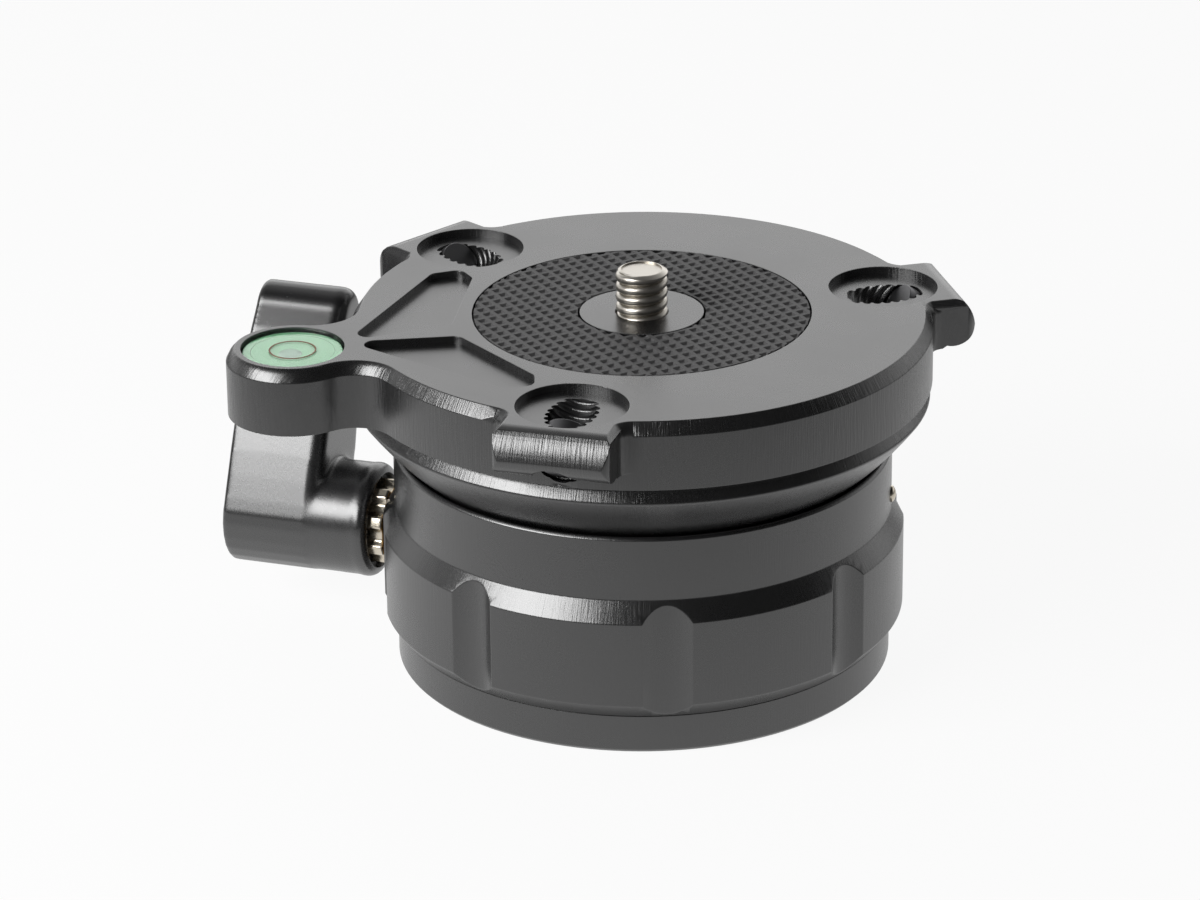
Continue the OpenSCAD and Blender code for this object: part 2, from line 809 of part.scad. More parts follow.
// Clear lens of the level
module vial_lens() {
    color([0.9, 0.95, 0.9])
        at_plate()
            translate([lobe_reach, 0, lens_z])
                cylinder(d = vial_d - 2 * vial_wall - 2 * seat_fit, h = lens_t);
}

// Plunger with a cone that lifts the brake pin
module wedge_plunger() {
    color(steel)
        at_lever()
            rotate_extrude()
                polygon([[0, wedge_point], [wedge_tip_d / 2, wedge_point], [wedge_d / 2, wedge_front],
                    [wedge_d / 2, wedge_back], [0, wedge_back]]);
}

// Upright pin with a slanted foot
module brake_pin() {
    s = brake_reach + brake_d / 2 + 1;
    color(steel)
        difference() {
            translate([-brake_reach, 0, lever_z - wedge_d / 2 + 0.6])
                cylinder(d = brake_d, h = brake_top - lever_z + wedge_d / 2 - 0.6);
            rotate([90, 0, 0])
                linear_extrude(20, center = true)
                    polygon([[8 - s, slope_z + s - 8], [-s, slope_z + s], [-s, 0], [8 - s, 0]]);
        }
}

// Friction pad on the brake pin, cut to the ball
module brake_pad() {
    color([0.3, 0.24, 0.16])
        difference() {
            translate([-brake_reach, 0, brake_top])
                cylinder(d = brake_d, h = 8);
            translate([0, 0, ball_z])
                sphere(r = ball_r + brake_gap, $fn = 128);
        }
}

// Lever screw with the star head
module lever_screw() {
    color(steel)
        at_arm()
            difference() {
                union() {
                    translate([0, 0, wedge_back + push_gap])
                        cylinder(d = screw_d, h = star_in - wedge_back);
                    translate([0, 0, star_in])
                        linear_extrude(star_l)
                            star(0);
                }
                translate([0, 0, star_out - 3.4])
                    cylinder(d = cap_d + 2 * seat_fit, h = 4, $fn = 48);
            }
}

// Cap screw that keeps the lever on its star
module lever_cap_screw() {
    color(steel)
        at_arm()
            difference() {
                union() {
                    translate([0, 0, star_out - 3])
                        cylinder(d = cap_d, h = cap_in - star_out + 3 + eps, $fn = 48);
                    translate([0, 0, cap_in])
                        cylinder(d = cap_head_d, h = cap_head_h);
                }
                translate([0, 0, cap_in + cap_head_h - 1.4])
                    linear_extrude(3)
                        hexagon(3);
            }
}

// Spring sleeve between the web and the cap screw
module lever_spring() {
    color(steel)
        at_lever()
            translate([0, 0, web_out])
                difference() {
                    cylinder(d = chamber_d - 0.6, h = spring_room - 0.1, $fn = 64);
                    translate([0, 0, -1])
                        cylinder(d = chamber_d - 0.6 - 2 * spring_wall, h = spring_room + 2, $fn = 64);
                }
}

// Hand lever: hub, lip and tapered arm
module lever_arm() {
    r = arm_w / 2;
    q = arm_top_w / 2;
    d = arm_h - q;
    a = asin((r - q) / d);
    color(black)
        at_arm()
            difference() {
                union() {
                    translate([0, 0, hub_reach])
                        cylinder(d = hub_d, h = arm_in - hub_reach + arm_round + 1);
                    translate([0, 0, hub_reach])
                        cylinder(d = lip_d, h = lip_w);
                    intersection() {
                        rotate([90, 0, 0])
                            linear_extrude(40, center = true)
                                rounded([[-r, arm_in], [arm_h, arm_in], [arm_h, arm_top_out],
                                    [0, arm_out], [-r, arm_out]], arm_round);
                        translate([0, 0, arm_in - 5])
                            linear_extrude(arm_out)
                                union() {
                                    circle(r = r);
                                    translate([d, 0])
                                        circle(r = q);
                                    polygon([[r * sin(a), -r * cos(a)], [d + q * sin(a), -q * cos(a)],
                                        [d + q * sin(a), q * cos(a)], [r * sin(a), r * cos(a)]]);
                                }
                    }
                }
                translate([0, 0, hub_reach - 1])
                    cylinder(d = star_d + 1, h = teeth_in - hub_reach + 1);
                translate([0, 0, hub_reach])
                    linear_extrude(web_in - hub_reach)
                        star(star_fit);
                translate([0, 0, hub_reach])
                    cylinder(d = cap_d + 0.4, h = 20, $fn = 48);
                translate([0, 0, web_out])
                    cylinder(d = chamber_d, h = 30);
            }
}

housing();
base_plate();
thread_bush();
base_screws();
wall_pin();
lever_bush();
tie_bolt();
spring_washer();
clamp_washer();
float_washer();
ball_dish();
top_plate();
grip_pad();
mounting_stud();
set_screws();
vial_cup();
vial_fluid();
vial_lens();
wedge_plunger();
brake_pin();
brake_pad();
lever_screw();
lever_cap_screw();
lever_spring();
lever_arm();
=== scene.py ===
# %% [markdown]
# # A leveling head, dressed for its picture
# A leveling head sits between a tripod and a camera. A round plate on a ball dish tilts in a fluted
# housing, a hand lever locks it, and a small bubble level shows when the plate is straight.
# The solids come from the CAD pack and stay where they are. This lesson gives them their finish and
# models again, by Blender's own operators, the pieces that need more detail than a plain solid has.

# %% Load the frame
import json
import math
import bmesh
import bpy
from mathutils import Matrix, Vector


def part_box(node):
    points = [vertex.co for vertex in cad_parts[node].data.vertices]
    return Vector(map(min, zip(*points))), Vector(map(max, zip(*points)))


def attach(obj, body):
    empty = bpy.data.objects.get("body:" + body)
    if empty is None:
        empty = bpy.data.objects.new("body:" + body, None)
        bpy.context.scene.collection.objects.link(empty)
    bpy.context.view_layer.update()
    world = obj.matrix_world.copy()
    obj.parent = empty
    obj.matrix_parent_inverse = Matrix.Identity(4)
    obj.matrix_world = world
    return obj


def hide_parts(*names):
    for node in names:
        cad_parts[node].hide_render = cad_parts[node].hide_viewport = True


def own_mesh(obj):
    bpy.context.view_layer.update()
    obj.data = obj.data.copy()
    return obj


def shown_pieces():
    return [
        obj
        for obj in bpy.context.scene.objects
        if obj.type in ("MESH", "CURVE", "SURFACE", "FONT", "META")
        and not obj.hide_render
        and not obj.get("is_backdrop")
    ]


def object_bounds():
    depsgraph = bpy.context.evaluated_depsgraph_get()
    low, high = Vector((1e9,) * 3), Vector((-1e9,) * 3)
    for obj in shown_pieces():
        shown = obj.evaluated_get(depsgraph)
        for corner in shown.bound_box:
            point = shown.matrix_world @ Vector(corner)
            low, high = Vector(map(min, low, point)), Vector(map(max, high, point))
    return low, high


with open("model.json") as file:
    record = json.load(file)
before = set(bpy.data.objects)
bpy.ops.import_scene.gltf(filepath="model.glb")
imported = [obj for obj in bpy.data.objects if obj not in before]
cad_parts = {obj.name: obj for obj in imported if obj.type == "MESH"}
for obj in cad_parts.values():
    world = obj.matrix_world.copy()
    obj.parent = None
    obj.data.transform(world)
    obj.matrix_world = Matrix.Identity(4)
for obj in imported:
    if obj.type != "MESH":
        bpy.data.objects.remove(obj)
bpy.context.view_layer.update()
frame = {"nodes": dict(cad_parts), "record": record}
MM = 0.001

# %% [markdown]
# ## The camera
# The picture looks down at the head from its front right with a long lens, so that the round plate
# shows as a flat oval. A long lens far away keeps the upright walls nearly parallel.

# %% Camera
LENS, SENSOR, NEAREST = 150, 36, 0.01
CAMERA_AT = Vector((164.9, -524.0, 261.9)) * MM
CAMERA_TURN, CAMERA_TIP, CAMERA_ROLL = 18, 66.73, -0.56
camera_data = bpy.data.cameras.new("camera")
camera_data.lens = LENS
camera_data.sensor_width = SENSOR
camera_data.clip_start = NEAREST
camera = bpy.data.objects.new("camera", camera_data)
bpy.context.scene.collection.objects.link(camera)
camera.matrix_world = (Matrix.Translation(CAMERA_AT)
                       @ Matrix.Rotation(math.radians(CAMERA_TURN), 4, "Z")
                       @ Matrix.Rotation(math.radians(CAMERA_TIP), 4, "X")
                       @ Matrix.Rotation(math.radians(CAMERA_ROLL), 4, "Z"))
bpy.context.scene.camera = camera
bpy.context.scene.view_settings.view_transform = "Standard"
print("camera at", [round(v, 3) for v in camera.location])

# %% [markdown]
# ## Small helpers
# Every new piece is made as by hand: add a simple form, change it in edit mode, finish it with
# modifiers. The helpers below keep each of these steps down to one line. An operator works on all that
# is selected, so each helper starts by clearing the selection.

# %% Helpers for objects
def only(obj):
    """Makes obj the one selected and active object."""
    if bpy.context.object and bpy.context.object.mode != "OBJECT":
        bpy.ops.object.mode_set(mode="OBJECT")
    bpy.ops.object.select_all(action="DESELECT")
    obj.select_set(True)
    bpy.context.view_layer.objects.active = obj
    return obj


def named(name):
    """Gives the object that was just added its name."""
    obj = bpy.context.object
    obj.name = name
    obj.data.name = name
    return obj


def settle(obj, matrix=None):
    """Moves the object by a matrix and puts its place, turn and scale into its mesh."""
    if matrix is not None:
        obj.matrix_world = matrix @ obj.matrix_world
    only(obj)
    bpy.ops.object.transform_apply(location=True, rotation=True, scale=True)
    return obj


def applied(obj, kind, **settings):
    """Adds a modifier with these settings and applies it."""
    only(obj)
    mod = obj.modifiers.new(kind.lower(), kind)
    for key, value in settings.items():
        setattr(mod, key, value)
    bpy.ops.object.modifier_apply(modifier=mod.name)
    return obj


def cut(obj, tool, how="DIFFERENCE"):
    """Cuts obj by tool, or joins the two, and removes the tool."""
    applied(obj, "BOOLEAN", object=tool, operation=how, solver="EXACT")
    bpy.data.objects.remove(tool)
    return obj


def twin(obj, name):
    """A copy with its own mesh."""
    copy = obj.copy()
    copy.data = obj.data.copy()
    copy.name = name
    copy.data.name = name
    bpy.context.scene.collection.objects.link(copy)
    return copy


# %% [markdown]
# ## Helpers for edges and shading
# A boolean leaves doubled points and faces without area, so each cut piece is cleaned. No real edge is
# perfectly sharp: a fine rounding catches a thin line of light. Weighted normals then keep the flat
# faces flat, although the shading runs smoothly over the roundings.

# %% Helpers for meshes
SHARP = 25
SEAM = 0.002 * MM


def clean(obj):
    """Merges doubled points, removes faces without area and turns all faces outwards."""
    only(obj)
    bpy.ops.object.mode_set(mode="EDIT")
    bpy.ops.mesh.select_all(action="SELECT")
    bpy.ops.mesh.remove_doubles(threshold=SEAM)
    bpy.ops.mesh.dissolve_degenerate(threshold=SEAM)
    bpy.ops.mesh.normals_make_consistent(inside=False)
    bpy.ops.object.mode_set(mode="OBJECT")
    return obj


def is_sharp(edge):
    """True where two faces meet at a clear angle."""
    return edge.is_manifold and edge.calc_face_angle() >= math.radians(SHARP)


def round_edges(obj, radius, segments, test):
    """Rounds the edges that pass the test, by a radius in millimetres."""
    only(obj)
    bpy.ops.object.mode_set(mode="EDIT")
    bpy.ops.mesh.select_mode(type="EDGE")
    bpy.ops.mesh.select_all(action="DESELECT")
    shape = bmesh.from_edit_mesh(obj.data)
    for edge in shape.edges:
        edge.select_set(test(edge))
    bmesh.update_edit_mesh(obj.data)
    bpy.ops.mesh.bevel(offset=radius * MM, segments=segments, affect="EDGES", clamp_overlap=False)
    bpy.ops.mesh.select_mode(type="VERT")
    bpy.ops.object.mode_set(mode="OBJECT")
    return obj


def shaded(obj, angle=30):
    """Smooth shading that keeps sharp edges, with flat faces kept flat by their size."""
    only(obj)
    bpy.ops.object.shade_smooth_by_angle(angle=math.radians(angle))
    return applied(obj, "WEIGHTED_NORMAL", keep_sharp=True, weight=100)


def placed(obj, body, slot, *nodes):
    """Hangs a finished piece on its body and hides the CAD nodes that it stands for."""
    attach(obj, body)
    if nodes:
        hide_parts(*nodes)
    print(obj.name, "rides on", body, "with", len(obj.data.polygons), "faces")
    return obj


# %% [markdown]
# ## Outlines, turned and drawn out
# Most of this head came off a lathe or a mill. In Blender both start as a line of points: a plane whose
# corners are merged to one point, from which each further point is extruded. Spun round the Z axis the
# line becomes a turned piece; filled and extruded it becomes a piece of even thickness.

# %% Helpers for outlines
def traced(name, points):
    """A line of edges through these points, in millimetres. It stays in edit mode."""
    bpy.ops.object.select_all(action="DESELECT")
    bpy.ops.mesh.primitive_plane_add(size=MM)
    obj = named(name)
    bpy.ops.object.mode_set(mode="EDIT")
    bpy.ops.mesh.merge(type="CENTER")
    here = Vector(points[0]) * MM
    bpy.ops.transform.translate(value=here)
    for point in points[1:]:
        there = Vector(point) * MM
        bpy.ops.mesh.extrude_region_move(TRANSFORM_OT_translate={"value": there - here})
        here = there
    return obj


def turned(name, profile, steps=96):
    """Spins a profile of (radius, height) in millimetres into a closed solid."""
    obj = traced(name, [(r, 0, h) for r, h in profile])
    bpy.ops.mesh.select_all(action="SELECT")
    bpy.ops.mesh.spin(steps=steps, angle=math.tau, center=(0, 0, 0), axis=(0, 0, 1))
    bpy.ops.object.mode_set(mode="OBJECT")
    return clean(obj)


def drawn_out(name, points, along):
    """Fills an outline and extrudes it. It stays in edit mode with the far face selected."""
    obj = traced(name, points)
    bpy.ops.mesh.select_all(action="SELECT")
    bpy.ops.mesh.edge_face_add()
    bpy.ops.mesh.extrude_region_move(TRANSFORM_OT_translate={"value": along})
    return obj


# %% [markdown]
# ## Housing, base disc and dish
# These three are plain turned bodies, and the CAD solids have the right shape, but perfectly sharp edges.
# A copy of the solid is merged, its flat triangles are joined to faces, and a fine bevel breaks each edge.
# The rim of the small pin's hole stays sharp: a bevel there would pull the wall's shading out of true.

# %% Copies with broken edges
EDGE, PIN_ROOM, FLAT, MERGE = 0.12, 0.3, 0.4, 0.001


def join_flats(obj):
    """Joins the triangles that lie in one plane to one face."""
    only(obj)
    bpy.ops.object.mode_set(mode="EDIT")
    bpy.ops.mesh.select_all(action="SELECT")
    bpy.ops.mesh.dissolve_limited(angle_limit=math.radians(FLAT))
    bpy.ops.object.mode_set(mode="OBJECT")
    return obj


def solid_copy(node, name):
    """A copy of a CAD node with its points merged."""
    copy = twin(frame["nodes"][node], name)
    copy.parent = None
    for key in list(copy.keys()):
        del copy[key]
    copy.data.materials.clear()
    only(copy)
    bpy.ops.mesh.customdata_custom_splitnormals_clear()
    bpy.ops.object.mode_set(mode="EDIT")
    bpy.ops.mesh.select_all(action="SELECT")
    bpy.ops.mesh.remove_doubles(threshold=MERGE * MM)
    bpy.ops.object.mode_set(mode="OBJECT")
    return copy


def broken_edges(node, name, width, segments=2):
    """A copy of a CAD node whose edges are broken by a fine bevel, in millimetres."""
    return applied(join_flats(solid_copy(node, name)), "BEVEL", width=width * MM, segments=segments,
                   limit_method="ANGLE", angle_limit=math.radians(SHARP), use_clamp_overlap=False)


pin_low, pin_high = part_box("wall_pin")


def clear_of_pin(edge):
    """True for a sharp edge of the housing, apart from the rim of the pin's hole."""
    at_pin = all(a - PIN_ROOM * MM < c < b + PIN_ROOM * MM
                 for v in edge.verts for a, b, c in zip(pin_low, pin_high, v.co))
    return is_sharp(edge) and not at_pin


housing = join_flats(solid_copy("housing", "fluted_housing"))
shaded(round_edges(housing, EDGE, 2, clear_of_pin))
base_disc = shaded(broken_edges("base_plate", "base_disc", EDGE))
dish = shaded(broken_edges("ball_dish", "tilt_dish", EDGE))
placed(housing, "base", "black_anodised", "housing")
placed(base_disc, "base", "black_anodised", "base_plate")
placed(dish, "top", "black_anodised", "ball_dish")

# %% [markdown]
# ## Threads
# A thread is a ridge that climbs round a core. The ridge's cross section is a small closed outline with a
# round crest; the Screw modifier winds it up by one pitch a turn, and its two open ends are then filled.
# The same ridge, used as a cutter, makes the thread of a hole.

# %% Helical ridge
CREST_BOW = (-90, -60, -35, -12, 12, 35, 60, 90)
ROOT_OVERLAP = 0.15


def close_ends(obj):
    """Fills the open ends of a wound form."""
    only(obj)
    bpy.ops.object.mode_set(mode="EDIT")
    bpy.ops.mesh.select_all(action="DESELECT")
    bpy.ops.mesh.select_non_manifold()
    bpy.ops.mesh.fill_holes(sides=0)
    bpy.ops.object.mode_set(mode="OBJECT")
    return clean(obj)


def ridge(name, root, crest, pitch, turns, steps, width):
    """A closed helical ridge with a round crest, wound about Z from height 0."""
    half = pitch * width / 2
    bow = [math.radians(a) for a in CREST_BOW]
    crown = [(root + (crest - root) * math.cos(a), 0, half * math.sin(a)) for a in bow]
    inside = root - ROOT_OVERLAP
    obj = traced(name, [(inside, 0, -half), *crown, (inside, 0, half)])
    bpy.ops.mesh.select_all(action="SELECT")
    bpy.ops.mesh.edge_face_add()
    bpy.ops.mesh.delete(type="ONLY_FACE")
    bpy.ops.object.mode_set(mode="OBJECT")
    applied(obj, "SCREW", axis="Z", angle=math.tau, screw_offset=pitch * MM, iterations=turns,
            steps=steps, render_steps=steps)
    return close_ends(obj)


# %% [markdown]
# ## The top plate's chamfer
# The plate is milled from one block: lugs, level seat, pockets and sinks. Its chamfer is steeper than the
# solid's, so the lower edge of the chamfer is selected by its height and moved down. The floors of the
# sinks lie at the same height, and they are left out by their distance from the sinks' middle.

# %% Plate with a steep chamfer
PLATE_TOP, SINK_REACH, SINK_DEPTH, SINK_R = 43.5, 29.8, 1.0, 6.5
CHAMFER_FOOT, CHAMFER_DROP = 42.5, 0.45
LUG_AZIMUTHS = (272, 32, 152)
to_lugs = [Matrix.Rotation(math.radians(azimuth), 4, "Z") for azimuth in LUG_AZIMUTHS]
sinks = [to_lug @ Vector((SINK_REACH * MM, 0, 0)) for to_lug in to_lugs]

plate = solid_copy("top_plate", "lugged_plate")
only(plate)
bpy.ops.object.mode_set(mode="EDIT")
bpy.ops.mesh.select_all(action="DESELECT")
bpy.ops.object.mode_set(mode="OBJECT")
for v in plate.data.vertices:
    v.select = (abs(v.co.z / MM - CHAMFER_FOOT) < 0.004
                and all((v.co.xy - sink.xy).length > (SINK_R + 0.1) * MM for sink in sinks))
print("points of the chamfer's foot:", sum(v.select for v in plate.data.vertices))
bpy.ops.object.mode_set(mode="EDIT")
bpy.ops.transform.translate(value=(0, 0, -CHAMFER_DROP * MM))
bpy.ops.object.mode_set(mode="OBJECT")

# %% [markdown]
# ## The lugs' noses
# Each lug ends in one large rounding below a crisp top edge, as a form cutter leaves it. One cutter is
# drawn as the outline of what is taken away, drawn out across the lug, copied and turned to each lug.

# %% Lug noses
NOSE_R, NOSE_X, NOSE_Z, NOSE_HALF = 7.0, 32.56, 38.68, 8.5
nose_bow = [math.radians(a) for a in range(48, 4, -4)]
nose_profile = [(NOSE_X + NOSE_R * math.cos(a), NOSE_Z + NOSE_R * math.sin(a)) for a in nose_bow]
nose_profile += [(43, 39.2), (43, 45), (37, 45)]
nose = clean(drawn_out("nose_cutter", [(r, -NOSE_HALF, h) for r, h in nose_profile],
                       (0, 2 * NOSE_HALF * MM, 0)))
for to_lug in to_lugs:
    cut(plate, settle(twin(nose, "lug_nose"), to_lug))
bpy.data.objects.remove(nose)
print("plate after the noses:", len(plate.data.polygons), "faces")

# %% [markdown]
# ## The tapped holes
# Each lug has a slanted, tapped hole for a set screw. The bore of the solid gets its thread by cutting a
# wound ridge out of its wall. The cuts come before the edges are rounded, because a boolean works best on
# plain faces; the rounding then leaves the threads out.

# %% Tapped holes
SLANT, PLATE_EDGE = 54, 0.1
TAP_ROOT, TAP_CREST, TAP_PITCH, TAP_TURNS, TAP_DEPTH, TAP_CLEAR = 2.5, 3.0, 1.0, 14, 10.5, 3.2


def along_hole(to_lug):
    """Matrix that lays +Z along a lug's slanted hole, up and in, starting at the sink's floor."""
    return (to_lug @ Matrix.Translation(Vector((SINK_REACH, 0, PLATE_TOP - SINK_DEPTH)) * MM)
            @ Matrix.Rotation(math.radians(-SLANT), 4, "Y"))


tap = ridge("tap", TAP_ROOT, TAP_CREST, TAP_PITCH, TAP_TURNS, steps=32, width=0.85)
settle(tap, Matrix.Translation((0, 0, -TAP_DEPTH * MM)))
for to_lug in to_lugs:
    cut(plate, settle(twin(tap, "lug_tap"), along_hole(to_lug)))
bpy.data.objects.remove(tap)
join_flats(plate)
into_holes = [along_hole(to_lug).inverted() for to_lug in to_lugs]


def plain_outer_edge(edge):
    """True for a sharp outward edge that is no part of a tapped hole."""
    if not is_sharp(edge) or not edge.is_convex:
        return False
    return all((into @ v.co).xy.length > TAP_CLEAR * MM for into in into_holes for v in edge.verts)


round_edges(plate, PLATE_EDGE, 2, plain_outer_edge)
shaded(clean(plate))
placed(plate, "top", "black_anodised", "top_plate")

# %% [markdown]
# ## The rubber pad
# The pad grips the camera with a grid of crossed ridges round small square pits. A grid of square faces
# is inset face by face, the inner faces are pushed down and narrowed, and the sheet gets its thickness.
# A ring then cuts the round shape out of it, so that pits are cut through at the rim as on the real pad.

# %% Pad
PIT, PAD_TURN, PAD_OUT, PAD_IN, PAD_THICK = 1.53, 47.5, 19.88, 7.6, 1.5
PAD_CELLS, RIDGE_HALF, PIT_SLOPE, PIT_DEPTH, SHEET = 28, 0.24, 0.2, 0.26, 3
bpy.ops.object.select_all(action="DESELECT")
bpy.ops.mesh.primitive_grid_add(x_subdivisions=PAD_CELLS, y_subdivisions=PAD_CELLS,
                                size=PAD_CELLS * PIT * MM)
pad = named("pitted_pad")
bpy.ops.object.mode_set(mode="EDIT")
bpy.ops.mesh.inset(thickness=RIDGE_HALF * MM, use_individual=True)
bpy.ops.mesh.inset(thickness=PIT_SLOPE * MM, depth=-PIT_DEPTH * MM, use_individual=True)
bpy.ops.object.mode_set(mode="OBJECT")
settle(pad, Matrix.Translation((0, 0, PLATE_TOP * MM)) @ Matrix.Rotation(math.radians(PAD_TURN), 4, "Z"))
bpy.ops.object.mode_set(mode="EDIT")
bpy.ops.mesh.select_all(action="DESELECT")
bpy.ops.mesh.select_non_manifold()
bpy.ops.mesh.extrude_edges_move(TRANSFORM_OT_translate={"value": (0, 0, -SHEET * MM)})
bpy.ops.mesh.edge_face_add()
bpy.ops.object.mode_set(mode="OBJECT")
clean(pad)
low, high = PLATE_TOP - PAD_THICK, PLATE_TOP + 1
ring = [(PAD_IN, low), (PAD_OUT, low), (PAD_OUT, high), (PAD_IN, high), (PAD_IN, low)]
cut(pad, turned("pad_ring", ring, 128), "INTERSECT")
placed(pad, "top", "pad_rubber", "grip_pad")

# %% [markdown]
# ## The mounting stud
# The stud is a stainless quarter-inch thread. A turned core is joined with a wound ridge, and a turned
# envelope trims both to the chamfered end.

# %% Stud
STUD_R, STUD_CORE, STUD_TOP, STUD_PITCH, STUD_TURNS = 3.1, 2.56, 48.88, 1.27, 6
CORE_TOP, THREAD_LOW, THREAD_FOOT, THREAD_ROOM = 48.7, 42.2, 43.1, 0.02
core = [(0, 35.6), (4, 35.6), (4, 42.9), (STUD_CORE, 43.4), (STUD_CORE, CORE_TOP), (0, CORE_TOP)]
stud = turned("threaded_stud", core, 64)
thread = ridge("stud_thread", STUD_CORE, STUD_R, STUD_PITCH, STUD_TURNS, steps=64, width=0.92)
settle(thread, Matrix.Translation((0, 0, THREAD_LOW * MM)))
cut(stud, thread, "UNION")
widest = STUD_R + THREAD_ROOM
envelope = [(0, 35), (5, 35), (5, THREAD_FOOT), (widest, THREAD_FOOT), (widest, 48.5), (2.62, 48.82),
            (2.5, STUD_TOP), (0, STUD_TOP)]
cut(stud, turned("stud_envelope", envelope, 64), "INTERSECT")
shaded(clean(stud))
placed(stud, "top", "stainless", "mounting_stud")

# %% [markdown]
# ## The hand lever
# The lever is a die casting under gloss coating: a round hub that runs on into a tapered arm with slightly
# swelling sides. Seen along its axis, the arm is a big circle drawn out to a small one. The outline is
# extruded, the outer face is leaned in towards the tip, and the edges are rounded.

# %% Lever arm
LEVER_Z, LEAN = 12.2, 20
ARM_IN, ARM_OUT, ARM_TIP_OUT, ARM_H = 39.7, 52.0, 51.2, 27.9
HUB_R, TIP_R, TIP_SWELL, HUB_SWELL = 7.05, 3.5, 5.6, 2.6
INNER_ROUND, OUTER_ROUND, OUTER_FROM = 1.6, 0.5, 50
to_lever = (Matrix.Translation((0, 0, LEVER_Z * MM)) @ Matrix.Rotation(math.radians(-90), 4, "Y")
            @ Matrix.Rotation(math.radians(LEAN), 4, "Z"))


def arm_outline(steps=14):
    """Points round the arm, seen along the lever's axis: a big circle drawn out to a small one."""
    reach = ARM_H - TIP_R
    side = math.pi / 2 - math.asin((HUB_R - TIP_R) / reach)
    tip = (reach, TIP_R, TIP_SWELL, -side, side)
    hub = (0, HUB_R, HUB_SWELL, side, math.tau - side)
    points = []
    for circle, following in ((tip, hub), (hub, tip)):
        centre, radius, swell, begin, end = circle
        goal, goal_radius, goal_swell = following[:3]
        for k in range(steps + 1):
            a = begin + (end - begin) * k / steps
            points.append((centre + radius * math.cos(a), radius * math.sin(a), ARM_IN))
        for t in (0.12, 0.25, 0.37, 0.5, 0.63, 0.75, 0.88):
            bulge = (swell * (1 - t) + goal_swell * t) * t * (1 - t)
            far = radius + (goal_radius - radius) * t + bulge
            middle = centre + (goal - centre) * t
            points.append((middle + far * math.cos(end), far * math.sin(end), ARM_IN))
    return points


lever = drawn_out("hand_lever", arm_outline(), (0, 0, (ARM_OUT - ARM_IN) * MM))
lean_in = math.atan((ARM_OUT - ARM_TIP_OUT) / (ARM_H + HUB_R))
bpy.ops.transform.rotate(value=-lean_in, orient_axis="Y", center_override=(-HUB_R * MM, 0, ARM_OUT * MM))
clean(lever)
outer = [v.co.z / MM for v in lever.data.vertices if v.co.z > OUTER_FROM * MM]
print("outer face from", round(min(outer), 2), "to", round(max(outer), 2))
round_edges(lever, INNER_ROUND, 5, lambda edge: all(v.co.z < (ARM_IN + 0.1) * MM for v in edge.verts))
round_edges(lever, OUTER_ROUND, 3, lambda edge: all(v.co.z > OUTER_FROM * MM for v in edge.verts))

# %% [markdown]
# ## One cast skin
# Hub and arm are one casting, with a soft inner corner where they meet. The turned hub is joined to the
# arm; a fine voxel remesh makes one even skin of both, and smoothing softens it. A vertex group limits the
# stronger smoothing to the inner corner, so that the rest keeps its shape.

# %% Lever skin
VOXEL, SKIN_SMOOTH, CORNER_SMOOTH = 0.24, 6, 40
CORNER_LOW, CORNER_HIGH, CORNER_R = 37.5, 41.2, 9.5
hub_profile = [(0, 33.35), (6.1, 33.35), (6.75, 33.6), (7.05, 34.2), (7.05, 34.8), (6.95, 35.3), (6.95, 49),
               (0, 49)]
cut(lever, turned("hub", hub_profile, 72), "UNION")
applied(lever, "REMESH", mode="VOXEL", voxel_size=VOXEL * MM, adaptivity=0)
applied(lever, "SMOOTH", factor=0.5, iterations=SKIN_SMOOTH)
inner_corner = lever.vertex_groups.new(name="inner_corner")
inner_corner.add([v.index for v in lever.data.vertices
                  if CORNER_LOW < v.co.z / MM < CORNER_HIGH
                  and math.hypot(v.co.x, v.co.y) / MM < CORNER_R], 1.0, "REPLACE")
applied(lever, "SMOOTH", factor=0.5, iterations=CORNER_SMOOTH, vertex_group="inner_corner")
print("lever skin:", len(lever.data.polygons), "faces")

# %% [markdown]
# ## The lever's bores
# The hub holds a star socket for the lever screw, and a chamber for the spring opens at the outer face.
# They are cut after the smoothing, because machined bores are crisp. The star has eight blunt teeth; its
# socket in the lever is a little wider than the star itself.

# %% Lever bores
STAR_R, STAR_TOOTH, STAR_TEETH, STAR_FIT = 5.2, 0.9, 8, 0.15
SOCKET_FROM, SOCKET_DEEP = 33, 4.65


def socket_outline():
    """Outline of the star socket, with four points for each tooth."""
    root = STAR_R - STAR_TOOTH
    points = []
    for i in range(STAR_TEETH):
        for part, radius in ((-0.32, root), (-0.18, STAR_R), (0.18, STAR_R), (0.32, root)):
            a = math.tau / STAR_TEETH * (i + part)
            wide = radius + STAR_FIT
            points.append((wide * math.cos(a), wide * math.sin(a), SOCKET_FROM))
    return points


mouth = [(0, 30), (5.9, 30), (5.9, 33.5), (5.55, 34.2), (5.55, 34.3), (0, 34.3)]
chamber = [(0, 39.65), (4.6, 39.65), (4.6, 51.4), (5.1, 52.4), (5.1, 54), (0, 54)]
shank_way = [(0, 33), (2.1, 33), (2.1, 41), (0, 41)]
cut(lever, turned("mouth", mouth, 64))
cut(lever, turned("chamber", chamber, 64))
cut(lever, clean(drawn_out("socket", socket_outline(), (0, 0, SOCKET_DEEP * MM))))
cut(lever, turned("shank_way", shank_way, 48))
settle(lever, to_lever)
shaded(clean(lever), 40)
placed(lever, "handle", "lever_black", "lever_arm")
